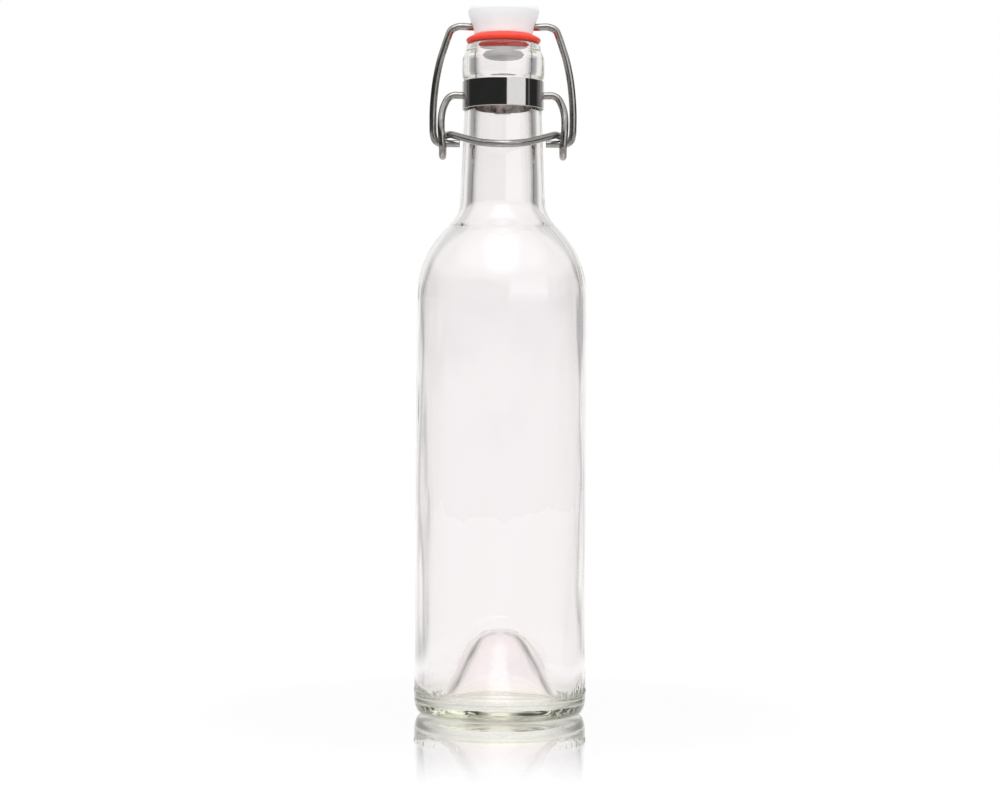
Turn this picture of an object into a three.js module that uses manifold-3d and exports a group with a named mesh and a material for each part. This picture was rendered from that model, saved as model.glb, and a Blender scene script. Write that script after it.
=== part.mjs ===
// Swing-top flint glass bottle: glass container, neck band, lever wire, stopper wire,
// stopper head and sealing ring. Millimetres, +Z up, origin at the centre of the base.
// The front of the bottle, where the thumb loop of the lever hangs, faces -Y.

import * as THREE from 'three';
import { mergeVertices } from 'three/addons/utils/BufferGeometryUtils.js';
import Module from 'manifold-3d';

const wasm = await Module();
wasm.setup();

// Driving dimensions of the glass.
const BODY_R = 30.2;
const BODY_FOOT_R = 30.45;
const WALL = 2.4;
const SHOULDER_Z = 147.5;
const SHOULDER_R = 35.0;
const SWEEP_R = 13.0;
const NECK_R = 15.0;
const GROOVE_R = 13.75;
const BEAD_R = 14.6;
const LIP_R = 13.3;
const LIP_Z = 237.5;
const BORE_R = 9.8;
const PUNT_TOP_Z = 29.8;
const PUNT_UNDER_Z = 27.2;

// Driving dimensions of the closure.
const WIRE_R = 1.3;
const PIVOT_Z = 219.4;
const HOOK_Y = 0.3;
const HOOK_Z = 202.3;
const CROSSBAR_Z = 243.8;
const BAND_INNER_R = 14.1;
const BAND_OUTER_R = 14.6;
const BAND_LOW_Z = 214.4;
const BAND_HIGH_Z = 224.2;
const RUNNING_GAP = 0.3;

const glass = new THREE.MeshStandardMaterial({
  color: 0xdfe4d4, roughness: 0.05, metalness: 0, transparent: true, opacity: 0.35,
});
const steel = new THREE.MeshStandardMaterial({ color: 0xb9bbbc, roughness: 0.22, metalness: 1 });
const bandSteel = new THREE.MeshStandardMaterial({ color: 0xc4c6c7, roughness: 0.16, metalness: 1 });
const plastic = new THREE.MeshStandardMaterial({ color: 0xf1efea, roughness: 0.35, metalness: 0 });
const rubber = new THREE.MeshStandardMaterial({ color: 0xe2301f, roughness: 0.6, metalness: 0 });

function toManifold(geometry) {
  const bare = geometry.clone();
  bare.deleteAttribute('normal');
  bare.deleteAttribute('uv');
  const merged = mergeVertices(bare, 1e-5);
  return new wasm.Manifold(new wasm.Mesh({
    numProp: 3,
    vertProperties: new Float32Array(merged.attributes.position.array),
    triVerts: new Uint32Array(merged.index.array),
  }));
}

function toMesh(name, solid, material) {
  const out = solid.getMesh();
  const geometry = new THREE.BufferGeometry();
  geometry.setAttribute('position', new THREE.BufferAttribute(out.vertProperties, 3));
  geometry.setIndex(new THREE.BufferAttribute(out.triVerts, 1));
  geometry.computeVertexNormals();
  const mesh = new THREE.Mesh(geometry, material);
  mesh.name = name;
  return mesh;
}

// Profiles are [radius, height] pairs walked so that the solid lies on their left.
function revolve(profile, segments) {
  const points = profile.map(([r, z]) => new THREE.Vector2(r, z));
  const geometry = new THREE.LatheGeometry(points, segments);
  geometry.rotateX(Math.PI / 2);
  return toManifold(geometry);
}

// Points of a circular arc, angles in degrees measured from the radial direction.
function arc(centreR, centreZ, radius, from, to, steps) {
  return Array.from({ length: steps + 1 }, (_, i) => {
    const angle = THREE.MathUtils.degToRad(from + (to - from) * i / steps);
    return [centreR + radius * Math.cos(angle), centreZ + radius * Math.sin(angle)];
  });
}

// Points of a smooth curve through the given profile points.
function smooth(points, steps) {
  const curve = new THREE.SplineCurve(points.map(([r, z]) => new THREE.Vector2(r, z)));
  return curve.getPoints(steps).map((p) => [p.x, p.y]);
}

// A round cylinder along X, centred on the given point.
function pinAlongX(radius, from, to, y, z, segments) {
  const geometry = new THREE.CylinderGeometry(radius, radius, to - from, segments);
  geometry.rotateZ(Math.PI / 2);
  geometry.translate((from + to) / 2, y, z);
  return toManifold(geometry);
}

// A bent wire: a smooth curve through the points of its right half, mirrored to the left.
function bentWire(rightHalf, steps, sides) {
  const right = rightHalf.map(([x, y, z]) => new THREE.Vector3(x, y, z));
  const left = right.filter((p) => p.x > 0).map((p) => new THREE.Vector3(-p.x, p.y, p.z));
  const path = new THREE.CatmullRomCurve3([...right, ...left.reverse()], false, 'centripetal');
  path.arcLengthDivisions = 2000;
  const section = new THREE.Shape();
  for (let i = 0; i < sides; i += 1) {
    const angle = 2 * Math.PI * i / sides;
    const x = WIRE_R * Math.cos(angle);
    const y = WIRE_R * Math.sin(angle);
    if (i === 0) section.moveTo(x, y);
    else section.lineTo(x, y);
  }
  section.closePath();
  const geometry = new THREE.ExtrudeGeometry(section, { steps, extrudePath: path, bevelEnabled: false });
  return toManifold(geometry);
}

const growler = new THREE.Group();
growler.name = 'swing_top_bottle';

// Glass container: pushed-up base on a flat bearing ring, straight body, round shoulder,
// neck with a strap groove, a locking bead and a plain rounded lip.
const sweepR = NECK_R + SWEEP_R;
const shoulderR = BODY_R - SHOULDER_R;
const sweepZ = SHOULDER_Z + Math.sqrt((SHOULDER_R + SWEEP_R) ** 2 - (sweepR - shoulderR) ** 2);
const shoulderEnd = THREE.MathUtils.radToDeg(Math.atan2(sweepZ - SHOULDER_Z, sweepR - shoulderR));

const innerShoulderR = 32.2;
const innerSweepR = 16.0;
const innerShoulderX = BODY_R - WALL - innerShoulderR;
const innerShoulderZ = 146.5;
const innerSweepX = 10.9 + innerSweepR;
const innerReach = innerShoulderR + innerSweepR;
const innerSweepZ = innerShoulderZ + Math.sqrt(innerReach ** 2 - (innerSweepX - innerShoulderX) ** 2);
const innerEnd = THREE.MathUtils.radToDeg(
  Math.atan2(innerSweepZ - innerShoulderZ, innerSweepX - innerShoulderX),
);

const bottleProfile = [
  [0, PUNT_UNDER_Z],
  ...smooth([[4.8, 25.9], [7.7, 23.0], [10.4, 18.6], [13.0, 13.5], [15.8, 8.3], [19.0, 3.7], [24.5, 0]], 9),
  [27.2, 0],
  ...smooth([[27.9, 0.15], [29.1, 1.05], [30.0, 2.8], [BODY_FOOT_R, 5.6]], 5),
  [BODY_FOOT_R, 9],
  [BODY_R, 140],
  ...arc(shoulderR, SHOULDER_Z, SHOULDER_R, 0, shoulderEnd, 8),
  ...arc(sweepR, sweepZ, SWEEP_R, shoulderEnd + 180, 180, 5).slice(1),
  [14.6, 193],
  [14.15, 205],
  [13.85, 211.5],
  [GROOVE_R, 214],
  [GROOVE_R, 224.4],
  [14.1, 225.1],
  ...arc(BEAD_R - 1.0, 226.8, 1.0, -50, 0, 2),
  ...arc(BEAD_R - 1.0, 233.3, 1.0, 0, 80, 3),
  [LIP_R, 234.8],
  ...arc(LIP_R - 1.2, LIP_Z - 1.2, 1.2, 0, 90, 3),
  ...arc(BORE_R + 1.0, LIP_Z - 1.0, 1.0, 90, 180, 3),
  [BORE_R, 214],
  [10.3, 204],
  ...arc(innerSweepX, innerSweepZ, innerSweepR, 180, 180 + innerEnd, 5),
  ...arc(innerShoulderX, innerShoulderZ, innerShoulderR, innerEnd, 0, 7).slice(1),
  [BODY_R - WALL, 16],
  ...smooth([[27.75, 11], [27.1, 7.4], [25.4, 4.8], [23.1, 4.0], [21.3, 5.0], [19.9, 7.4]], 8),
  ...smooth([[16.9, 13.5], [14.1, 20.3], [10.6, 25.4], [6.4, 28.6]], 5),
  [0, PUNT_TOP_Z],
];
const dimpleFloor = 12.5;
const dimpleR = 1.75;
const bottle = revolve(bottleProfile, 48)
  .subtract(pinAlongX(dimpleR, dimpleFloor, 20, 0, PIVOT_Z, 20))
  .subtract(pinAlongX(dimpleR, -20, -dimpleFloor, 0, PIVOT_Z, 20));
growler.add(toMesh('glass_bottle', bottle, glass));

// Neck band: a thin steel strap closed round the groove, its ends lapped and welded at the
// back, pierced on both sides for the ends of the lever wire.
const strap = revolve([
  [BAND_INNER_R, BAND_LOW_Z],
  [BAND_OUTER_R, BAND_LOW_Z],
  [BAND_OUTER_R, BAND_HIGH_Z],
  [BAND_INNER_R, BAND_HIGH_Z],
  [BAND_INNER_R, BAND_LOW_Z],
], 56);
const lapHalfAngle = THREE.MathUtils.degToRad(17);
const lapShape = new THREE.Shape();
lapShape.absarc(0, 0, BAND_OUTER_R + 0.45, Math.PI / 2 - lapHalfAngle, Math.PI / 2 + lapHalfAngle, false);
lapShape.absarc(0, 0, BAND_OUTER_R - 0.2, Math.PI / 2 + lapHalfAngle, Math.PI / 2 - lapHalfAngle, true);
lapShape.closePath();
const lapDepth = BAND_HIGH_Z - BAND_LOW_Z - 0.6;
const lapGeometry = new THREE.ExtrudeGeometry(lapShape, { depth: lapDepth, bevelEnabled: false, curveSegments: 6 });
lapGeometry.translate(0, 0, BAND_LOW_Z + 0.3);
const band = strap
  .add(toManifold(lapGeometry))
  .subtract(pinAlongX(WIRE_R + RUNNING_GAP, 12, 18, 0, PIVOT_Z, 24))
  .subtract(pinAlongX(WIRE_R + RUNNING_GAP, -18, -12, 0, PIVOT_Z, 24));
growler.add(toMesh('neck_band', band, bandSteel));

// Lever wire: one round wire. Each end turns in a dimple of the neck, the leg drops in front
// of the hook, loops under it and climbs behind, then crosses above the hook on the inside
// and sweeps round the front of the neck as the thumb loop.
const EYE_R = 2.8;
const EYE_X = 21.4;
const THUMB_Y = -21.3;
const THUMB_Z = 200.1;
const CROSSING_Z = 205.3;
const thumbBow = (-EYE_R - THUMB_Y) / 18.4 ** 2;
const thumbPoint = (y, z) => [Math.sqrt((y - THUMB_Y) / thumbBow), y, z];
const lever = bentWire([
  [12.9, 0, PIVOT_Z],
  [15.2, 0, PIVOT_Z],
  [17.6, 0, PIVOT_Z],
  [19.4, -0.1, 218.5],
  [20.8, -0.4, 216.1],
  [21.7, -1.0, 213.0],
  [21.95, -1.8, 209.6],
  [21.85, -2.35, 206.2],
  [21.6, HOOK_Y - EYE_R, 202.9],
  [EYE_X, HOOK_Y - EYE_R, 200.4],
  [EYE_X, HOOK_Y - EYE_R * 0.72, 198.55],
  [EYE_X, HOOK_Y, 197.75],
  [EYE_X, HOOK_Y + EYE_R * 0.72, 198.55],
  [EYE_X, HOOK_Y + EYE_R, 200.4],
  [21.3, HOOK_Y + EYE_R, 202.6],
  [21.0, HOOK_Y + EYE_R * 0.82, 204.3],
  thumbPoint(1.2, 205.2),
  thumbPoint(-0.9, CROSSING_Z),
  thumbPoint(-EYE_R, CROSSING_Z - 0.1),
  thumbPoint(-7.0, 204.2),
  thumbPoint(-12.0, 202.8),
  thumbPoint(-17.0, 201.2),
  thumbPoint(-20.2, 200.35),
  [0, THUMB_Y, THUMB_Z],
], 110, 8);
growler.add(toMesh('lever_wire', lever, steel));

// Stopper wire: a hook under the crossing of each eye, two arms leaning in towards the top
// and a crossbar that runs through the stopper head.
const HOOK_TIP_X = 15.3;
const ARM_X = 24.9;
const stopperWire = bentWire([
  [HOOK_TIP_X, HOOK_Y, HOOK_Z],
  [18.0, HOOK_Y, HOOK_Z],
  [20.6, HOOK_Y, HOOK_Z],
  [22.6, HOOK_Y, HOOK_Z + 0.15],
  [24.1, HOOK_Y, HOOK_Z + 1.2],
  [24.75, HOOK_Y, HOOK_Z + 3.3],
  [ARM_X, 0.28, 208.6],
  [ARM_X, 0.25, 213.5],
  [24.6, 0.2, 218.5],
  [23.85, 0.15, 225.0],
  [22.35, 0.1, 232.2],
  [20.95, 0.05, 236.6],
  [19.8, 0, 240.0],
  [18.6, 0, 242.6],
  [16.2, 0, CROSSBAR_Z],
  [12.0, 0, CROSSBAR_Z],
  [6.0, 0, CROSSBAR_Z],
  [0, 0, CROSSBAR_Z],
], 90, 8);
growler.add(toMesh('stopper_wire', stopperWire, steel));

// Stopper head: a flat-domed moulded head with a waist for the sealing ring and a tapered
// plug below it, bored across for the crossbar.
const HEAD_FOOT_Z = 240.8;
const WAIST_R = 6.0;
const headProfile = [
  [0, 232.3],
  [6.0, 232.3],
  ...arc(6.0, 233.2, 0.9, -90, -25, 3).slice(1),
  [8.2, 234.5],
  [8.4, 235.3],
  [WAIST_R, 235.3],
  [WAIST_R, HEAD_FOOT_Z],
  [10.1, HEAD_FOOT_Z],
  [10.5, 241.4],
  [10.9, 243.4],
  [11.65, 245.6],
  [12.4, 247.7],
  ...smooth([[12.7, 249.2], [12.4, 250.7], [11.5, 252.0], [9.5, 253.0], [6.5, 253.4]], 6),
  [0, 253.5],
];
const head = revolve(headProfile, 36)
  .subtract(pinAlongX(WIRE_R + RUNNING_GAP, -16, 16, 0, CROSSBAR_Z, 24));
growler.add(toMesh('stopper_head', head, plastic));

// Sealing ring: a moulded rubber washer held in the waist, its rim over the lip and its boss
// just inside the mouth.
const ringInnerR = WAIST_R + RUNNING_GAP;
const ringProfile = [
  [ringInnerR, 235.6],
  [8.1, 235.6],
  [8.7, 236.2],
  [9.2, 237.5],
  [9.6, LIP_Z + RUNNING_GAP],
  [12.3, LIP_Z + RUNNING_GAP],
  [12.9, 238.25],
  [13.25, 238.9],
  [13.25, 239.35],
  [12.7, 239.75],
  [11.2, 240.4],
  [10.8, HEAD_FOOT_Z - RUNNING_GAP],
  [ringInnerR, HEAD_FOOT_Z - RUNNING_GAP],
  [ringInnerR, 235.6],
];
growler.add(toMesh('sealing_ring', revolve(ringProfile, 36), rubber));

export default growler;
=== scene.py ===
import math

import bmesh
import bpy
from mathutils import Matrix, Vector, noise


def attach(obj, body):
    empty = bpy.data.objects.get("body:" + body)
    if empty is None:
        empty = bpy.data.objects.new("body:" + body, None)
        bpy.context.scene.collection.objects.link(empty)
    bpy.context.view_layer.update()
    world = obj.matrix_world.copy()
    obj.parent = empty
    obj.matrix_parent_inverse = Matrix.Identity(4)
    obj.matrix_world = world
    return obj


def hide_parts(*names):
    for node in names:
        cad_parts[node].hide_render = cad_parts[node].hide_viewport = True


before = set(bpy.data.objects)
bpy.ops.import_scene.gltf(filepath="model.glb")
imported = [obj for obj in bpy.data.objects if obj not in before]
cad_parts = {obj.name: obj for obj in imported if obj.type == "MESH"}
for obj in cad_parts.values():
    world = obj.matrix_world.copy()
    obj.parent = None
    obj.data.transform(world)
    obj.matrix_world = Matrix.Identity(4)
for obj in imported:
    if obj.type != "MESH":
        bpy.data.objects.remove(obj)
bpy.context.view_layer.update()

MM = 0.001

# ---------------------------------------------------------------------------
# Glass bottle. One piece of machine-blown flint glass with a pushed-up base,
# a straight body, a round shoulder and a neck that ends in a strap groove, a
# locking bead and a fire-polished lip. The two mould halves leave a fine seam.
# ---------------------------------------------------------------------------


def arc(centre_r, centre_z, radius, start, end, count):
    """(r, z) points of an arc, its angles in degrees from the radial direction."""
    turns = [math.radians(start + (end - start) * i / count) for i in range(count + 1)]
    return [(centre_r + radius * math.cos(a), centre_z + radius * math.sin(a)) for a in turns]


def spline(points, per_span):
    """A centripetal Catmull-Rom line through points of two or three coordinates."""
    knots = [Vector(p) for p in points]
    knots = [2 * knots[0] - knots[1]] + knots + [2 * knots[-1] - knots[-2]]
    line = []
    for a, b, c, d in zip(knots, knots[1:], knots[2:], knots[3:]):
        spans = [max((q - p).length, 1e-9) ** 0.5 for p, q in ((a, b), (b, c), (c, d))]
        slope_b = (b - a) / spans[0] - (c - a) / (spans[0] + spans[1]) + (c - b) / spans[1]
        slope_c = (c - b) / spans[1] - (d - b) / (spans[1] + spans[2]) + (d - c) / spans[2]
        slope_b, slope_c = slope_b * spans[1], slope_c * spans[1]
        for i in range(per_span):
            t = i / per_span
            line.append(
                b * (2 * t**3 - 3 * t**2 + 1) + slope_b * (t**3 - 2 * t**2 + t)
                + c * (3 * t**2 - 2 * t**3) + slope_c * (t**3 - t**2)
            )
    return [tuple(p) for p in line] + [tuple(knots[-2])]


def rows(low, high, spacing, radius):
    """Profile points up or down a wall whose radius is a function of height."""
    count = max(1, round(abs(high - low) / spacing))
    heights = [low + (high - low) * i / count for i in range(count + 1)]
    return [(radius(z), z) for z in heights]


def turned(profile, steps):
    """A bmesh of the profile, in millimetres, turned all the way round the Z axis."""
    bm = bmesh.new()
    line = [bm.verts.new((r * MM, 0, z * MM)) for r, z in profile]
    edges = [bm.edges.new(pair) for pair in zip(line, line[1:])]
    bmesh.ops.spin(
        bm, geom=line + edges, cent=(0, 0, 0), axis=(0, 0, 1),
        angle=math.pi / 2, steps=steps // 4, use_merge=False,
    )
    for axis in ("X", "Y"):
        whole = bm.verts[:] + bm.edges[:] + bm.faces[:]
        bmesh.ops.mirror(bm, geom=whole, merge_dist=-1, axis=axis)
    bmesh.ops.remove_doubles(bm, verts=bm.verts, dist=1e-7)
    bmesh.ops.dissolve_degenerate(bm, edges=bm.edges, dist=1e-8)
    bmesh.ops.recalc_face_normals(bm, faces=bm.faces)
    return bm


def finished(bm, name, material):
    """The bmesh as a smooth-shaded piece of that name."""
    mesh = bpy.data.meshes.new(name)
    for face in bm.faces:
        face.smooth = True
    bm.to_mesh(mesh)
    bm.free()
    mesh.materials.append(material)
    piece = bpy.data.objects.new(name, mesh)
    bpy.context.scene.collection.objects.link(piece)
    return piece


def blank_material(name):
    """A new material, its node tree, its Principled shader and its output node."""
    material = bpy.data.materials.new(name)
    material.use_nodes = True
    tree = material.node_tree
    return material, tree, tree.nodes["Principled BSDF"], tree.nodes["Material Output"]


def blank_group(name, inputs, outputs):
    """A shader group whose inputs are name: (kind, default) and outputs name: kind."""
    group = bpy.data.node_groups.new(name, "ShaderNodeTree")
    for label, (kind, value) in inputs.items():
        socket = group.interface.new_socket(name=label, in_out="INPUT", socket_type=kind)
        if value is not None:
            socket.default_value = value
    for label, kind in outputs.items():
        group.interface.new_socket(name=label, in_out="OUTPUT", socket_type=kind)
    return group, group.nodes.new("NodeGroupInput"), group.nodes.new("NodeGroupOutput")


def place(tree, kind, **settings):
    """A new node with its properties and, by name, the values of its inputs set."""
    node = tree.nodes.new(kind)
    for label, value in settings.items():
        if hasattr(node, label):
            setattr(node, label, value)
        else:
            node.inputs[label.replace("_", " ")].default_value = value
    return node


def place_group(tree, group, **settings):
    """A node of that group with its named inputs set."""
    node = tree.nodes.new("ShaderNodeGroup")
    node.node_tree = group
    for label, value in settings.items():
        node.inputs[label.replace("_", " ")].default_value = value
    return node


# Handling marks. Strokes is 1 inside a fine, short rub and 0 elsewhere; Film is a soft,
# uneven cover between 0 and 1 that also serves as the shallow unevenness of a skin.
handling, marks_in, marks_out = blank_group(
    "handling_marks",
    {"Vector": ("NodeSocketVector", None), "Stroke Scale": ("NodeSocketFloat", 900.0),
     "Film Scale": ("NodeSocketFloat", 60.0)},
    {"Strokes": "NodeSocketFloat", "Film": "NodeSocketFloat"},
)
stretch = place(handling, "ShaderNodeMapping", Scale=(1.0, 1.0, 0.12), Rotation=(0.5, 0.3, 0.0))
strokes = place(handling, "ShaderNodeTexNoise", Detail=2.0, Roughness=0.6)
stroke_edge = place(handling, "ShaderNodeMapRange", From_Min=0.66, From_Max=0.74)
film = place(handling, "ShaderNodeTexNoise", Detail=4.0, Roughness=0.55)
handling.links.new(marks_in.outputs["Vector"], stretch.inputs["Vector"])
handling.links.new(stretch.outputs["Vector"], strokes.inputs["Vector"])
handling.links.new(marks_in.outputs["Stroke Scale"], strokes.inputs["Scale"])
handling.links.new(strokes.outputs["Fac"], stroke_edge.inputs["Value"])
handling.links.new(stroke_edge.outputs["Result"], marks_out.inputs["Strokes"])
handling.links.new(marks_in.outputs["Vector"], film.inputs["Vector"])
handling.links.new(marks_in.outputs["Film Scale"], film.inputs["Scale"])
handling.links.new(film.outputs["Fac"], marks_out.inputs["Film"])

# Millimetres, heights above the table. The shoulders and sweeps are (centre radius,
# centre height, radius) of arcs that meet at the END angle, outside and inside the wall.
BODY_R = 30.2
FOOT_R = 30.42
WALL = 2.4
SHOULDER = (-4.8, 147.5, 35.0)
SWEEP = (28.0, 182.545, 13.0)
SHOULDER_END = 46.9
GROOVE_R = 13.75
BORE_R = 9.8
LIP_Z = 237.5
LIP_OUT_R = 1.2
LIP_IN_R = 1.0
INNER_SHOULDER = (-4.4, 146.5, 32.2)
INNER_SWEEP = (26.9, 183.15, 16.0)
INNER_END = 49.5
PIVOT_Z = 219.4


def body_radius(z):
    """The outer radius of the body, which draws in a little from the foot upwards."""
    return FOOT_R + (BODY_R - FOOT_R) * min(1.0, max(0.0, (z - 9) / 131))


bottle_profile = (
    spline([(0, 27.2), (2.4, 27.0), (4.8, 25.9), (7.7, 23.0), (10.4, 18.6), (13.0, 13.5),
            (15.8, 8.3), (19.0, 3.7), (22.0, 1.1), (23.8, 0.2), (25.0, 0.0)], 4)
    + spline([(26.7, 0.0), (27.9, 0.22), (29.1, 1.05), (30.0, 2.8), (30.36, 4.6),
              (FOOT_R, 6.2)], 4)
    + rows(6.5, 11.0, 0.25, body_radius)
    + rows(14, 140, 6.0, body_radius)
    + arc(*SHOULDER, 0, SHOULDER_END, 20)
    + arc(*SWEEP, 180 + SHOULDER_END, 180, 12)[1:]
    + spline([(14.75, 189), (14.55, 194), (14.15, 205), (13.85, 211.5), (GROOVE_R, 214),
              (GROOVE_R, 217.0)], 2)
    + rows(217.3, 221.5, 0.3, lambda z: GROOVE_R)
    + spline([(GROOVE_R, 223.8), (13.85, 224.6), (14.3, 225.35), (14.55, 226.3), (14.6, 227.6)], 3)
    + spline([(14.6, 231.4), (14.52, 232.6), (14.2, 233.5), (13.75, 234.2), (13.42, 234.95),
              (13.3, 235.8)], 4)
    + arc(12.1, LIP_Z - LIP_OUT_R, LIP_OUT_R, 0, 90, 6)
    + arc(BORE_R + LIP_IN_R, LIP_Z - LIP_IN_R, LIP_IN_R, 90, 180, 6)
    + spline([(BORE_R, 233.0), (BORE_R, 226.0), (9.85, 218.0), (10.1, 209.0), (10.45, 199.0),
              (10.8, 190.0)], 3)
    + arc(*INNER_SWEEP, 180, 180 + INNER_END, 12)
    + arc(*INNER_SHOULDER, INNER_END, 0, 16)[1:]
    + rows(140, 16, 6.0, lambda z: BODY_R - WALL)
    + spline([(27.78, 12.5), (27.45, 9.0), (26.6, 6.4), (25.2, 4.7), (23.2, 4.0), (21.5, 4.8),
              (19.9, 7.4), (16.9, 13.5), (14.1, 20.3), (10.6, 25.4), (6.4, 28.6), (3.0, 29.6),
              (0, 29.8)], 3)
)
bottle = turned(bottle_profile, 480)

# Date and cavity ticks standing up on the heel, as (turn from the front in degrees,
# height, half width, half length): a spaced group on one side, a close one on the other.
spaced_ticks = ((-82, 0.8), (-62, 0.9), (-49, 0.9), (-28, 0.6))
heel_ticks = [(turn, 8.9, 0.45, length) for turn, length in spaced_ticks]
heel_ticks += [(44 + 6.3 * i, 8.7, 0.38, 1.1 + 0.35 * (i % 2)) for i in range(7)]
TICK_RISE = 0.24
SEAM_TURN = 72.0
SEAM_RISE = 0.07
DIMPLE_R = 2.1
DIMPLE_DEPTH = 1.25

# The relief of the skin, and the slow swing of a blown wall's inner face.
for vert in bottle.verts:
    x, y, z = vert.co / MM
    r = math.hypot(x, y)
    if r < 1e-6:
        continue
    turn = math.degrees(math.atan2(x, -y))
    skin_r = 28.6 if z < 30 else 29.0 if z < 150 else 12.6
    outside = r > skin_r
    move = 0.0
    if outside and 6.0 < z < 12:
        for tick_turn, tick_z, half_width, half_length in heel_ticks:
            across = math.radians(turn - tick_turn) * r / half_width
            along = (z - tick_z) / half_length
            if abs(across) < 1.6 and abs(along) < 1.3:
                move += TICK_RISE * math.exp(-2.2 * across**2) * math.exp(-1.5 * along**6)
    if outside and 5.0 < z < 234:
        for seam_turn in (SEAM_TURN, SEAM_TURN - 180):
            across = math.radians(turn - seam_turn) * r
            move += SEAM_RISE * math.exp(-(across / 0.3) ** 2)
    if outside and 215 < z < 224:
        off = math.hypot(y, z - PIVOT_Z)
        if off < DIMPLE_R:
            move -= DIMPLE_DEPTH * (1 - (off / DIMPLE_R) ** 4)
    if not outside and z > 6 and r > 5:
        swing = noise.noise(Vector((x, y, z * 0.45)) * 0.07)
        ripple = noise.noise(Vector((x, y, z * 0.25)) * 0.22)
        ease = min(1.0, (z - 6) / 20)
        thin = 1.0 if z < 165 else 0.45
        move += ease * thin * (0.42 * swing + 0.10 * ripple)
    vert.co.x += move * MM * x / r
    vert.co.y += move * MM * y / r

# Clear glass with a faint warm-green cast in depth: the thick foot looks straw-coloured.
# The skin has fine rubs, and the ring it stands on is scuffed dull.
flint, tree, shader, output = blank_material("flint_glass")
coords = place(tree, "ShaderNodeTexCoord")
rubs = place_group(tree, handling, Stroke_Scale=1400.0, Film_Scale=45.0)
gloss = place(tree, "ShaderNodeMapRange", To_Min=0.0, To_Max=0.06)
skin = place(tree, "ShaderNodeBump", Strength=0.05, Distance=0.0004)
tree.links.new(coords.outputs["Object"], rubs.inputs["Vector"])
tree.links.new(rubs.outputs["Strokes"], gloss.inputs["Value"])
tree.links.new(rubs.outputs["Film"], skin.inputs["Height"])
tree.links.new(skin.outputs["Normal"], shader.inputs["Normal"])
parts = place(tree, "ShaderNodeSeparateXYZ")
scuff = place(tree, "ShaderNodeMapRange", From_Min=0.0012, From_Max=0.003, To_Min=0.3, To_Max=0.0)
worn = place(tree, "ShaderNodeMath", operation="ADD")
tree.links.new(parts.outputs["Z"], scuff.inputs["Value"])
tree.links.new(gloss.outputs["Result"], worn.inputs[0])
tree.links.new(scuff.outputs["Result"], worn.inputs[1])
tree.links.new(worn.outputs["Value"], shader.inputs["Roughness"])
foot = place(tree, "ShaderNodeMapRange", From_Min=0.004, From_Max=0.012, To_Min=0.0, To_Max=1.0)
cast = place(tree, "ShaderNodeMix", data_type="RGBA")
cast.inputs["A"].default_value = (0.99, 0.985, 0.945, 1.0)
cast.inputs["B"].default_value = (1.0, 0.975, 0.983, 1.0)
tree.links.new(coords.outputs["Object"], parts.inputs["Vector"])
tree.links.new(parts.outputs["Z"], foot.inputs["Value"])
tree.links.new(foot.outputs["Result"], cast.inputs["Factor"])
tree.links.new(cast.outputs["Result"], shader.inputs["Base Color"])
shader.inputs["Transmission Weight"].default_value = 1.0
shader.inputs["IOR"].default_value = 1.51
tint = place(tree, "ShaderNodeVolumeAbsorption", Color=(0.80, 0.81, 0.56, 1.0), Density=7.0)
tree.links.new(tint.outputs["Volume"], output.inputs["Volume"])

glass = finished(bottle, "bottle_glass", flint)
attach(glass, "bottle")
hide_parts("glass_bottle")

# ---------------------------------------------------------------------------
# Neck band. A thin strip of bright stainless steel closed round the groove under
# the bead. Its ends lap at the back and are held by two spot welds, and the
# sides are pierced for the ends of the lever wire.
# ---------------------------------------------------------------------------

BAND_IN = 14.1
BAND_OUT = 14.6
BAND_LOW = 214.4
BAND_HIGH = 224.2
EDGE = 0.12
HOLE_R = 1.6


def pierce(piece, radius, flare, straight, reach, z):
    """Cuts a round hole along X through the piece at height z. The hole is straight that
    far from the middle, and opens by flare from there to the reach."""
    bm = bmesh.new()
    outline = [(-reach, 0), (-reach, radius + flare), (-straight, radius)]
    outline += [(-x, r) for x, r in reversed(outline)]
    line = [bm.verts.new((x * MM, 0, r * MM)) for x, r in outline]
    edges = [bm.edges.new(pair) for pair in zip(line, line[1:])]
    bmesh.ops.spin(
        bm, geom=line + edges, axis=(1, 0, 0), angle=2 * math.pi, steps=48, use_merge=True,
    )
    bmesh.ops.remove_doubles(bm, verts=bm.verts, dist=1e-7)
    bmesh.ops.dissolve_degenerate(bm, edges=bm.edges, dist=1e-8)
    bmesh.ops.recalc_face_normals(bm, faces=bm.faces)
    bmesh.ops.translate(bm, vec=(0, 0, z * MM), verts=bm.verts)
    drill = finished(bm, "drill", piece.data.materials[0])
    cut = piece.modifiers.new("hole", "BOOLEAN")
    cut.object = drill
    cut.operation = "DIFFERENCE"
    cut.solver = "EXACT"
    cut_piece = piece.evaluated_get(bpy.context.evaluated_depsgraph_get())
    shape = bpy.data.meshes.new_from_object(cut_piece)
    piece.modifiers.clear()
    piece.data = shape
    bpy.data.objects.remove(drill)


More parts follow.
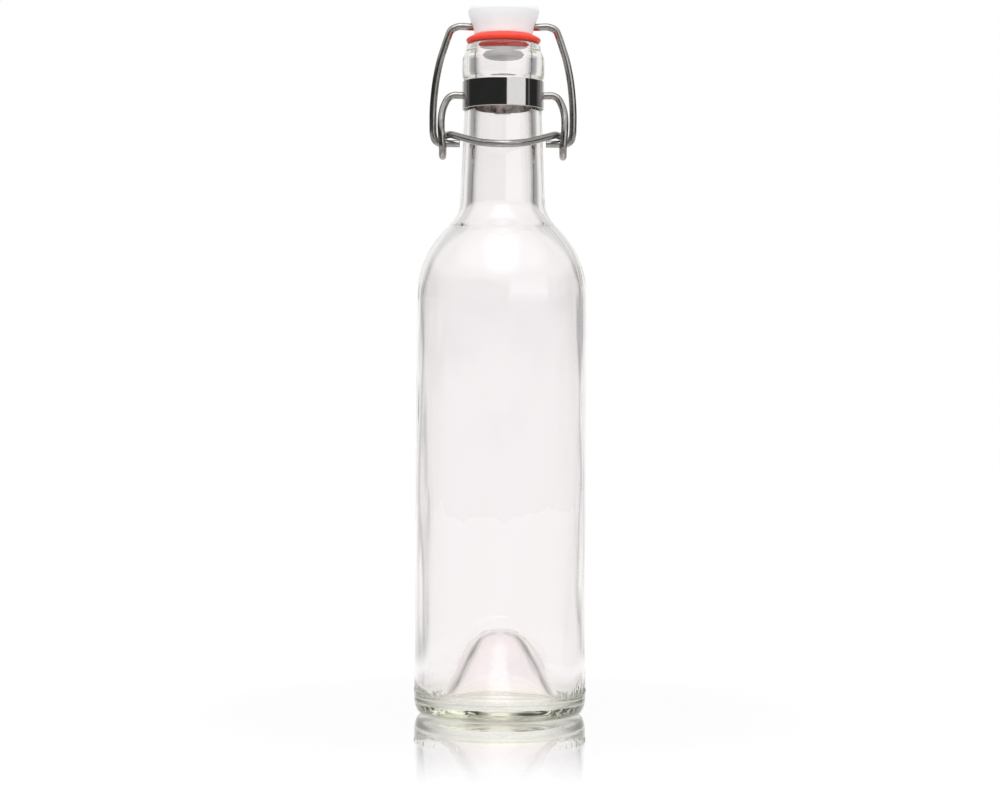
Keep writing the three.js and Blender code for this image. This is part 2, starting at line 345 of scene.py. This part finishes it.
# Rolled metal: fine lines the way the metal was drawn, and soft cloudy dulling between.
# The vector runs along the lines in Y and across them in X.
drawn, drawn_in, drawn_out = blank_group(
    "drawn_metal",
    {"Vector": ("NodeSocketVector", None), "Line Scale": ("NodeSocketFloat", 40.0),
     "Dull": ("NodeSocketFloat", 0.12), "Bright": ("NodeSocketFloat", 0.3)},
    {"Shade": "NodeSocketFloat", "Roughness": "NodeSocketFloat", "Height": "NodeSocketFloat"},
)
lines_map = place(drawn, "ShaderNodeMapping", Scale=(1.0, 0.03, 1.0))
lines = place(drawn, "ShaderNodeTexNoise", Detail=3.0, Roughness=0.7)
clouds = place(drawn, "ShaderNodeTexNoise", Scale=6.0, Detail=3.0, Roughness=0.6)
mixed = place(drawn, "ShaderNodeMath", operation="MULTIPLY")
rough = place(drawn, "ShaderNodeMapRange")
shade = place(drawn, "ShaderNodeMapRange", From_Min=0.3, From_Max=0.7, To_Min=0.0, To_Max=1.0)
drawn.links.new(drawn_in.outputs["Vector"], lines_map.inputs["Vector"])
drawn.links.new(lines_map.outputs["Vector"], lines.inputs["Vector"])
drawn.links.new(drawn_in.outputs["Line Scale"], lines.inputs["Scale"])
drawn.links.new(drawn_in.outputs["Vector"], clouds.inputs["Vector"])
drawn.links.new(lines.outputs["Fac"], mixed.inputs[0])
drawn.links.new(clouds.outputs["Fac"], mixed.inputs[1])
drawn.links.new(mixed.outputs["Value"], rough.inputs["Value"])
drawn.links.new(drawn_in.outputs["Dull"], rough.inputs["To Min"])
drawn.links.new(drawn_in.outputs["Bright"], rough.inputs["To Max"])
drawn.links.new(rough.outputs["Result"], drawn_out.inputs["Roughness"])
drawn.links.new(clouds.outputs["Fac"], shade.inputs["Value"])
drawn.links.new(shade.outputs["Result"], drawn_out.inputs["Shade"])
drawn.links.new(lines.outputs["Fac"], drawn_out.inputs["Height"])

strip = turned(
    arc(BAND_OUT - EDGE, BAND_LOW + EDGE, EDGE, -90, 0, 4)
    + rows(BAND_LOW + 2 * EDGE, BAND_HIGH - 2 * EDGE, 0.5, lambda z: BAND_OUT)
    + arc(BAND_OUT - EDGE, BAND_HIGH - EDGE, EDGE, 0, 90, 4)
    + arc(BAND_IN + EDGE, BAND_HIGH - EDGE, EDGE, 90, 180, 4)
    + rows(BAND_HIGH - 2 * EDGE, BAND_LOW + 2 * EDGE, 0.5, lambda z: BAND_IN)
    + arc(BAND_IN + EDGE, BAND_LOW + EDGE, EDGE, 180, 270, 4)
    + [(BAND_OUT - EDGE, BAND_LOW)],
    288,
)

band_steel, tree, shader, _ = blank_material("band_steel")
coords = place(tree, "ShaderNodeTexCoord")
upright = place(
    tree, "ShaderNodeMapping", Rotation=(0.0, math.radians(90), 0.0), Scale=(60.0, 60.0, 60.0),
)
sheen = place_group(tree, drawn, Line_Scale=30.0, Dull=0.05, Bright=0.16)
colour = place(tree, "ShaderNodeMix", data_type="RGBA")
colour.inputs["A"].default_value = (0.60, 0.585, 0.575, 1.0)
colour.inputs["B"].default_value = (0.635, 0.62, 0.61, 1.0)
skin = place(tree, "ShaderNodeBump", Strength=0.04, Distance=0.00005)
tree.links.new(coords.outputs["Object"], upright.inputs["Vector"])
tree.links.new(upright.outputs["Vector"], sheen.inputs["Vector"])
tree.links.new(sheen.outputs["Shade"], colour.inputs["Factor"])
tree.links.new(colour.outputs["Result"], shader.inputs["Base Color"])
tree.links.new(sheen.outputs["Roughness"], shader.inputs["Roughness"])
tree.links.new(sheen.outputs["Height"], skin.inputs["Height"])
tree.links.new(skin.outputs["Normal"], shader.inputs["Normal"])
shader.inputs["Metallic"].default_value = 1.0

# The lapped end: a short plate curved over the strip at the back, with rounded corners
# and two sunken weld spots.
LAP_HALF = 17.0
LAP_HALF_HEIGHT = 4.6
LAP_LIFT = 0.42
LAP_THICK = 0.5
WELD_FROM_MIDDLE = 2.3
BAND_MIDDLE = (BAND_LOW + BAND_HIGH) / 2
lap = bmesh.new()
bmesh.ops.create_grid(lap, x_segments=56, y_segments=30, size=0.5)
for vert in lap.verts:
    u, v = vert.co.x * 2, vert.co.y * 2
    corner = max(0.0, abs(u) - 0.80) / 0.20
    half_height = LAP_HALF_HEIGHT - 1.6 * (1 - math.sqrt(max(0.0, 1 - corner**2)))
    turn = math.radians(90 + LAP_HALF * u)
    z = BAND_MIDDLE + half_height * v
    arc_length = math.radians(LAP_HALF) * BAND_OUT
    r = BAND_OUT + LAP_LIFT
    for side in (-1, 1):
        off = math.hypot(u * arc_length, z - BAND_MIDDLE - side * WELD_FROM_MIDDLE)
        r -= 0.16 * math.exp(-((off / 0.75) ** 4)) - 0.05 * math.exp(-(((off - 1.1) / 0.25) ** 2))
    vert.co = Vector((math.cos(turn) * r, math.sin(turn) * r, z)) * MM
whole = lap.verts[:] + lap.edges[:] + lap.faces[:]
bmesh.ops.solidify(lap, geom=whole, thickness=LAP_THICK * MM)
bmesh.ops.recalc_face_normals(lap, faces=lap.faces)
lap_mesh = bpy.data.meshes.new("lap")
lap.to_mesh(lap_mesh)
lap.free()

band = finished(strip, "band_strap", band_steel)
pierce(band, HOLE_R, flare=0.0, straight=18.0, reach=19.0, z=PIVOT_Z)
joined = bmesh.new()
joined.from_mesh(band.data)
joined.from_mesh(lap_mesh)
for face in joined.faces:
    face.smooth = True
joined.to_mesh(band.data)
joined.free()
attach(band, "bottle")
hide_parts("neck_band")

# ---------------------------------------------------------------------------
# Lever wire. One length of bright drawn stainless wire: the ends turn in the
# dimples of the neck, each leg forms a closed eye that traps a hook of the
# stopper wire, and the middle is the thumb loop round the front of the neck.
# ---------------------------------------------------------------------------

WIRE_R = 1.3
CHAMFER = 0.28
HOOK_Y = 0.3
HOOK_Z = 202.3
EYE_R = 2.8
EYE_X = 21.4
THUMB_Y = -21.3
THUMB_HALF_WIDTH = 18.4


def mirrored(right_half):
    """The right half of a wire's bends, then the same bends mirrored to the left."""
    return right_half + [(-x, y, z) for x, y, z in reversed(right_half) if x > 0]


def wire(name, bends, material, rings, sides):
    """A round wire along the smooth line through its bends, its cut ends chamfered. The
    UV runs round the wire in U and along it, in metres, in V."""
    line = [Vector(p) * MM for p in spline(bends, 40)]
    reach = [0.0]
    for a, b in zip(line, line[1:]):
        reach.append(reach[-1] + (b - a).length)
    centres, k = [], 0
    for i in range(rings + 1):
        goal = reach[-1] * i / rings
        while k < len(line) - 2 and reach[k + 1] < goal:
            k += 1
        share = (goal - reach[k]) / max(reach[k + 1] - reach[k], 1e-12)
        centres.append(line[k].lerp(line[k + 1], min(1.0, share)))
    ways = [(b - a).normalized() for a, b in zip(centres, centres[1:])]
    ways = [ways[0]] + [(a + b).normalized() for a, b in zip(ways, ways[1:])] + [ways[-1]]
    bm = bmesh.new()
    around = bm.verts.layers.float.new("around")
    along = bm.verts.layers.float.new("along")
    first = bmesh.ops.create_circle(bm, segments=sides, radius=WIRE_R * MM)["verts"]
    for i, vert in enumerate(first):
        vert[around] = i / sides
    turn = Vector((0, 0, 1)).rotation_difference(ways[0])
    stand = Matrix.Translation(centres[0]) @ turn.to_matrix().to_4x4()
    bmesh.ops.transform(bm, matrix=stand, verts=first)
    edges, ends = bm.edges[:], [bm.edges[:]]
    for i in range(1, rings + 1):
        made = bmesh.ops.extrude_edge_only(bm, edges=edges)["geom"]
        verts = [g for g in made if isinstance(g, bmesh.types.BMVert)]
        fresh = set(verts)
        edges = [g for g in made if isinstance(g, bmesh.types.BMEdge)]
        edges = [edge for edge in edges if fresh.issuperset(edge.verts)]
        turn = ways[i - 1].rotation_difference(ways[i])
        stand = (
            Matrix.Translation(centres[i]) @ turn.to_matrix().to_4x4()
            @ Matrix.Translation(-centres[i - 1])
        )
        bmesh.ops.transform(bm, matrix=stand, verts=verts)
        for vert in verts:
            vert[along] = reach[-1] * i / rings
    ends.append(edges)
    uv = bm.loops.layers.uv.new("wire")
    for face in bm.faces:
        seam = max(loop.vert[around] for loop in face.loops) > 0.9
        for loop in face.loops:
            turn_share = loop.vert[around]
            loop[uv].uv = (1.0 if seam and turn_share < 0.1 else turn_share, loop.vert[along])
    for rim in ends:
        bmesh.ops.contextual_create(bm, geom=rim)
    bmesh.ops.bevel(
        bm, geom=ends[0] + ends[1], offset=CHAMFER * MM, affect="EDGES", segments=2,
        profile=0.5, material=-1,
    )
    bmesh.ops.recalc_face_normals(bm, faces=bm.faces)
    return finished(bm, name, material)


wire_steel, tree, shader, _ = blank_material("wire_steel")
coords = place(tree, "ShaderNodeUVMap", uv_map="wire")
length = place(tree, "ShaderNodeMapping", Scale=(1.0, 120.0, 1.0))
sheen = place_group(tree, drawn, Line_Scale=18.0, Dull=0.14, Bright=0.26)
colour = place(tree, "ShaderNodeMix", data_type="RGBA")
colour.inputs["A"].default_value = (0.33, 0.315, 0.300, 1.0)
colour.inputs["B"].default_value = (0.45, 0.435, 0.420, 1.0)
skin = place(tree, "ShaderNodeBump", Strength=0.03, Distance=0.00004)
tree.links.new(coords.outputs["UV"], length.inputs["Vector"])
tree.links.new(length.outputs["Vector"], sheen.inputs["Vector"])
tree.links.new(sheen.outputs["Shade"], colour.inputs["Factor"])
tree.links.new(colour.outputs["Result"], shader.inputs["Base Color"])
tree.links.new(sheen.outputs["Roughness"], shader.inputs["Roughness"])
tree.links.new(sheen.outputs["Height"], skin.inputs["Height"])
tree.links.new(skin.outputs["Normal"], shader.inputs["Normal"])
shader.inputs["Metallic"].default_value = 1.0


def thumb_point(y, z):
    """A bend of the thumb loop, whose plan is a parabola round the front of the neck."""
    bow = (-EYE_R - THUMB_Y) / THUMB_HALF_WIDTH**2
    return (math.sqrt((y - THUMB_Y) / bow), y, z)


lever = wire("lever_bail", mirrored([
    (12.9, 0, PIVOT_Z),
    (15.2, 0, PIVOT_Z),
    (17.6, 0, PIVOT_Z),
    (19.4, -0.1, 218.5),
    (20.8, -0.4, 216.1),
    (21.7, -1.0, 213.0),
    (21.95, -1.8, 209.6),
    (21.85, -2.35, 206.2),
    (21.6, HOOK_Y - EYE_R, 202.9),
    (EYE_X, HOOK_Y - EYE_R, 200.4),
    (EYE_X, HOOK_Y - EYE_R * 0.72, 198.55),
    (EYE_X, HOOK_Y, 197.75),
    (EYE_X, HOOK_Y + EYE_R * 0.72, 198.55),
    (EYE_X, HOOK_Y + EYE_R, 200.4),
    (21.3, HOOK_Y + EYE_R, 202.6),
    (21.0, HOOK_Y + EYE_R * 0.82, 204.3),
    thumb_point(1.2, 205.2),
    thumb_point(-0.9, 205.3),
    thumb_point(-EYE_R, 205.2),
    thumb_point(-7.0, 204.2),
    thumb_point(-12.0, 202.8),
    thumb_point(-17.0, 201.2),
    thumb_point(-20.2, 200.35),
    (0, THUMB_Y, 200.1),
]), wire_steel, 520, 28)
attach(lever, "lever")
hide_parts("lever_wire")

# ---------------------------------------------------------------------------
# Stopper wire. The same drawn wire bent to a frame: two hooks turned in under
# the eyes of the lever, two arms leaning in, and a crossbar through the head.
# ---------------------------------------------------------------------------

CROSSBAR_Z = 243.8
ARM_X = 24.9

stopper_bail = wire("stopper_bail", mirrored([
    (15.3, HOOK_Y, HOOK_Z),
    (18.0, HOOK_Y, HOOK_Z),
    (20.6, HOOK_Y, HOOK_Z),
    (22.6, HOOK_Y, HOOK_Z + 0.15),
    (24.1, HOOK_Y, HOOK_Z + 1.2),
    (24.75, HOOK_Y, HOOK_Z + 3.3),
    (ARM_X, 0.28, 208.6),
    (ARM_X, 0.25, 213.5),
    (24.6, 0.2, 218.5),
    (23.85, 0.15, 225.0),
    (22.35, 0.1, 232.2),
    (20.95, 0.05, 236.6),
    (19.8, 0, 240.0),
    (18.6, 0, 242.6),
    (16.2, 0, CROSSBAR_Z),
    (12.0, 0, CROSSBAR_Z),
    (6.0, 0, CROSSBAR_Z),
    (0, 0, CROSSBAR_Z),
]), wire_steel, 460, 28)
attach(stopper_bail, "bail")
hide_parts("stopper_wire")

# ---------------------------------------------------------------------------
# Stopper head. Injection-moulded white plastic: a flat dome, a waist for the
# ring and a short tapered plug, with a cross hole for the crossbar. The mould
# halves meet at the widest part, and the gate leaves a small sunk disc on top.
# ---------------------------------------------------------------------------

WAIST_R = 6.0
PLUG_Z = 232.3
HEAD_FOOT_Z = 240.8
HEAD_TOP_Z = 253.46
GATE_Z = 253.26
head_mould = turned(
    spline([(0, PLUG_Z), (3.0, PLUG_Z), (5.8, PLUG_Z + 0.02)], 2)
    + arc(6.0, 233.2, 0.88, -90, -25, 6)
    + spline([(7.2, 233.2), (7.9, 234.1), (8.25, 234.7)], 2)
    + arc(8.1, 235.0, 0.3, 0, 90, 3)
    + [(WAIST_R, 235.3), (WAIST_R, HEAD_FOOT_Z)]
    + arc(10.0, HEAD_FOOT_Z + 0.4, 0.4, -90, -10, 4)
    + spline([(10.45, 241.4), (10.85, 243.4), (11.6, 245.6), (12.32, 247.6), (12.62, 248.9)], 4)
    + [(12.68, 249.15), (12.68, 249.27), (12.64, 249.5)]
    + spline([(12.56, 249.95), (12.25, 250.9), (11.6, 251.8), (10.6, 252.5), (9.2, 252.95),
              (7.2, 253.25), (5.0, 253.4), (2.6, HEAD_TOP_Z)], 4)
    + [(2.45, HEAD_TOP_Z), (2.3, 253.3), (2.1, GATE_Z), (0, GATE_Z)],
    160,
)

white_plastic, tree, shader, _ = blank_material("white_plastic")
coords = place(tree, "ShaderNodeTexCoord")
rubs = place_group(tree, handling, Stroke_Scale=1100.0, Film_Scale=170.0)
film_tone = place(tree, "ShaderNodeMapRange", From_Min=0.3, From_Max=0.7)
colour = place(tree, "ShaderNodeMix", data_type="RGBA")
colour.inputs["A"].default_value = (0.89, 0.90, 0.905, 1.0)
colour.inputs["B"].default_value = (0.93, 0.94, 0.945, 1.0)
satin = place(tree, "ShaderNodeMapRange", From_Min=0.25, From_Max=0.75, To_Min=0.30, To_Max=0.44)
grain = place(tree, "ShaderNodeTexNoise", Scale=5200.0, Detail=1.0)
skin = place(tree, "ShaderNodeBump", Strength=0.10, Distance=0.00004)
tree.links.new(coords.outputs["Object"], rubs.inputs["Vector"])
tree.links.new(coords.outputs["Object"], grain.inputs["Vector"])
tree.links.new(rubs.outputs["Film"], film_tone.inputs["Value"])
tree.links.new(film_tone.outputs["Result"], colour.inputs["Factor"])
tree.links.new(colour.outputs["Result"], shader.inputs["Base Color"])
tree.links.new(rubs.outputs["Film"], satin.inputs["Value"])
tree.links.new(satin.outputs["Result"], shader.inputs["Roughness"])
tree.links.new(grain.outputs["Fac"], skin.inputs["Height"])
tree.links.new(skin.outputs["Normal"], shader.inputs["Normal"])
shader.inputs["IOR"].default_value = 1.49

head = finished(head_mould, "head_moulding", white_plastic)
pierce(head, HOLE_R, flare=0.5, straight=11.0, reach=14.0, z=CROSSBAR_Z)
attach(head, "stopper")
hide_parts("stopper_head")

# ---------------------------------------------------------------------------
# Sealing ring. Moulded red rubber stretched over the plug into the waist: a
# sloping upper face, a thin rim over the lip and a boss just inside the mouth,
# with a hair of mould flash round the rim.
# ---------------------------------------------------------------------------

RING_IN = 6.3
RING_LOW = 235.6
RING_SEAT = 237.82
RING_HIGH = 240.77
ring_mould = turned(
    [(RING_IN, RING_LOW)]
    + arc(7.9, 235.9, 0.3, -90, -10, 3)
    + spline([(8.4, 236.05), (8.9, 236.7), (9.2, 237.35), (9.55, 237.8), (10.4, RING_SEAT),
              (12.1, RING_SEAT)], 3)
    + spline([(12.4, 237.9), (12.95, 238.35), (13.18, 238.85)], 3)
    + [(13.25, 239.0), (13.25, 239.08), (13.18, 239.2)]
    + spline([(13.1, 239.45), (12.6, 239.8), (11.7, 240.25), (10.9, 240.65),
              (10.5, RING_HIGH)], 3)
    + [(9.6, RING_HIGH), (RING_IN, RING_HIGH), (RING_IN, RING_LOW)],
    200,
)

red_rubber, tree, shader, _ = blank_material("red_rubber")
coords = place(tree, "ShaderNodeTexCoord")
rubs = place_group(tree, handling, Stroke_Scale=1500.0, Film_Scale=260.0)
colour = place(tree, "ShaderNodeMix", data_type="RGBA")
colour.inputs["A"].default_value = (0.93, 0.030, 0.016, 1.0)
colour.inputs["B"].default_value = (1.0, 0.080, 0.034, 1.0)
matt = place(tree, "ShaderNodeMapRange", From_Min=0.25, From_Max=0.75, To_Min=0.42, To_Max=0.58)
grain = place(tree, "ShaderNodeTexNoise", Scale=2600.0, Detail=2.0)
skin = place(tree, "ShaderNodeBump", Strength=0.18, Distance=0.00005)
tree.links.new(coords.outputs["Object"], rubs.inputs["Vector"])
tree.links.new(coords.outputs["Object"], grain.inputs["Vector"])
tree.links.new(rubs.outputs["Film"], colour.inputs["Factor"])
tree.links.new(colour.outputs["Result"], shader.inputs["Base Color"])
tree.links.new(rubs.outputs["Film"], matt.inputs["Value"])
tree.links.new(matt.outputs["Result"], shader.inputs["Roughness"])
tree.links.new(grain.outputs["Fac"], skin.inputs["Height"])
tree.links.new(skin.outputs["Normal"], shader.inputs["Normal"])

ring = finished(ring_mould, "ring_washer", red_rubber)
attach(ring, "stopper")
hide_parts("sealing_ring")

# ---------------------------------------------------------------------------
# Studio. A pale gloss sheet under a broad soft ceiling, with a white wall behind
# and a dim room in front that has one tall soft panel on its right. Behind the
# object the camera sees plain white, and matt surfaces are lit by an even tent.
# ---------------------------------------------------------------------------

# Where the white wall behind starts and is full, in radians of turn from the front.
WALL_TURNS = (2.35, 2.85)
SHEET_R = 1.3
SHEET_DROP = 0.0001
SHEET_GLOW = 0.84


def maths(operation, a, b=None):
    """The output of a Math node placed in the current tree."""
    node = place(tree, "ShaderNodeMath", operation=operation)
    for socket, value in zip(node.inputs, (a, b)):
        if isinstance(value, (int, float)):
            socket.default_value = value
        elif value is not None:
            tree.links.new(value, socket)
    return node.outputs["Value"]


def ramp(value, low, high, to_low, to_high):
    """A smooth step from to_low to to_high as the value goes from low to high."""
    node = place(tree, "ShaderNodeMapRange", interpolation_type="SMOOTHSTEP", From_Min=low,
                 From_Max=high, To_Min=to_low, To_Max=to_high)
    tree.links.new(value, node.inputs["Value"])
    return node.outputs["Result"]


# The sheet glows evenly near the object and towards the wall, less towards the front. Its
# mirror coat is strongest at grazing angles and fades out a hand's width from the object.
sheet, tree, shader, output = blank_material("gloss_sheet")
coords = place(tree, "ShaderNodeTexCoord")
parts = place(tree, "ShaderNodeSeparateXYZ")
tree.links.new(coords.outputs["Object"], parts.inputs["Vector"])
across, back = parts.outputs["X"], parts.outputs["Y"]
away = maths("ADD", maths("MULTIPLY", across, across), maths("MULTIPLY", back, back))
away = maths("SQRT", away)
off_front = maths("ABSOLUTE", maths("ARCTAN2", across, maths("MULTIPLY", back, -1.0)))
graze = place(tree, "ShaderNodeFresnel", IOR=2.2)
gloss = maths("MINIMUM", 1.0, maths("MULTIPLY", graze.outputs["Fac"], 1.75))
gloss = maths("MULTIPLY", gloss, ramp(away, 0.055, 0.19, 1.0, 0.0))
mirror_coat = place(tree, "ShaderNodeBsdfGlossy", Color=(1.0, 1.0, 1.0, 1.0), Roughness=0.02)
blend = place(tree, "ShaderNodeMixShader")
tree.links.new(gloss, blend.inputs[0])
tree.links.new(shader.outputs["BSDF"], blend.inputs[1])
tree.links.new(mirror_coat.outputs["BSDF"], blend.inputs[2])
tree.links.new(blend.outputs["Shader"], output.inputs["Surface"])
path = place(tree, "ShaderNodeLightPath")
wall_side = ramp(off_front, *WALL_TURNS, 0.40, 0.95)
white_zone = maths("MAXIMUM", wall_side, ramp(away, 0.12, 0.35, 1.0, 0.0))
white_zone = maths("MAXIMUM", white_zone, path.outputs["Is Camera Ray"])
tree.links.new(maths("MULTIPLY", white_zone, SHEET_GLOW), shader.inputs["Emission Strength"])
shader.inputs["Base Color"].default_value = (0.15, 0.15, 0.15, 1.0)
shader.inputs["Specular IOR Level"].default_value = 0.0
shader.inputs["Roughness"].default_value = 1.0
shader.inputs["Emission Color"].default_value = (1.0, 1.0, 1.0, 1.0)

floor = bmesh.new()
bmesh.ops.create_circle(floor, cap_ends=True, segments=96, radius=SHEET_R)
bmesh.ops.translate(floor, vec=(0, 0, -SHEET_DROP), verts=floor.verts)
floor_sheet = finished(floor, "floor_sheet", sheet)

# Light that the thick foot leads round inside the glass takes many bounces to come out.
scene = bpy.context.scene
scene.view_settings.view_transform = "Standard"
scene.cycles.max_bounces = 64
scene.cycles.transmission_bounces = 64
scene.cycles.glossy_bounces = 64

# The room by direction: turn is in radians from the front, positive to the right, and
# height is the upward part of the direction, from -1 to 1.
room = bpy.data.worlds.new("soft_room")
scene.world = room
room.use_nodes = True
tree = room.node_tree
backdrop = tree.nodes["Background"]
coords = place(tree, "ShaderNodeTexCoord")
parts = place(tree, "ShaderNodeSeparateXYZ")
tree.links.new(coords.outputs["Generated"], parts.inputs["Vector"])
height = parts.outputs["Z"]
turn = maths("ARCTAN2", parts.outputs["X"], maths("MULTIPLY", parts.outputs["Y"], -1.0))
off_front = maths("ABSOLUTE", turn)
off_middle = maths("ABSOLUTE", parts.outputs["X"])

# The walls, from the dim front to the white back, with the panel and a slit beside it.
side_grey = ramp(off_front, 1.8, WALL_TURNS[0], 0.03, 0.36)
wall_white = ramp(off_front, *WALL_TURNS, 0.0, 0.62)
low_fill = ramp(height, 0.0, 0.07, 0.60, 0.0)
panel = maths("MULTIPLY", ramp(turn, 0.17, 0.20, 0.0, 1.12), ramp(turn, 1.12, 1.16, 1.0, 0.0))
slit = maths("MULTIPLY", ramp(turn, 1.29, 1.32, 0.0, 0.16), ramp(turn, 1.37, 1.40, 1.0, 0.0))
panel = maths("MULTIPLY", maths("ADD", panel, slit), ramp(height, 0.02, 0.12, 0.0, 1.0))
belt = maths("MAXIMUM", low_fill, maths("ADD", maths("ADD", side_grey, wall_white), panel))

# The ceiling, with one brighter light over the front.
lamp_depth = ramp(parts.outputs["Y"], -0.35, 0.10, 1.9, 0.0)
lamp_width = ramp(off_middle, 0.15, 0.45, 1.0, 0.2)
overhead = maths("MULTIPLY", lamp_depth, lamp_width)
overhead = maths("MULTIPLY", overhead, ramp(height, 0.50, 0.64, 0.10, 1.0))
ceiling = maths("ADD", 0.72, overhead)
above = ramp(height, 0.28, 0.42, 0.0, 1.0)
below = ramp(height, -0.16, -0.10, 1.0, 0.0)
middle = maths("SUBTRACT", maths("SUBTRACT", 1.0, above), below)
lit = maths("ADD", maths("MULTIPLY", belt, middle), maths("MULTIPLY", ceiling, above))
lit = maths("ADD", lit, below)

# The tent that matt surfaces see, brightest overhead and over the middle.
tent_middle = ramp(off_middle, 0.20, 0.95, 1.54, 0.86)
soft = maths("MULTIPLY", tent_middle, ramp(height, 0.0, 0.7, 0.90, 1.15))
path = place(tree, "ShaderNodeLightPath")
tent = place(tree, "ShaderNodeMix", data_type="FLOAT")
strength = place(tree, "ShaderNodeMix", data_type="FLOAT")
tree.links.new(path.outputs["Diffuse Depth"], tent.inputs["Factor"])
tree.links.new(lit, tent.inputs["A"])
tree.links.new(soft, tent.inputs["B"])
tree.links.new(path.outputs["Is Camera Ray"], strength.inputs["Factor"])
tree.links.new(tent.outputs["Result"], strength.inputs["A"])
strength.inputs["B"].default_value = 1.0
tree.links.new(strength.outputs["Result"], backdrop.inputs["Strength"])
backdrop.inputs["Color"].default_value = (1.0, 1.0, 1.0, 1.0)

camera = bpy.data.cameras.new("camera")
camera.lens = 85.3
camera.sensor_width = 36.0
camera.clip_start = 0.01
camera.clip_end = 100.0
camera_stand = bpy.data.objects.new("camera", camera)
camera_stand.location = (-0.0005, -0.8427, 0.1112)
camera_stand.rotation_euler = (math.radians(90), math.radians(-0.33), 0)
scene.collection.objects.link(camera_stand)
scene.camera = camera_stand
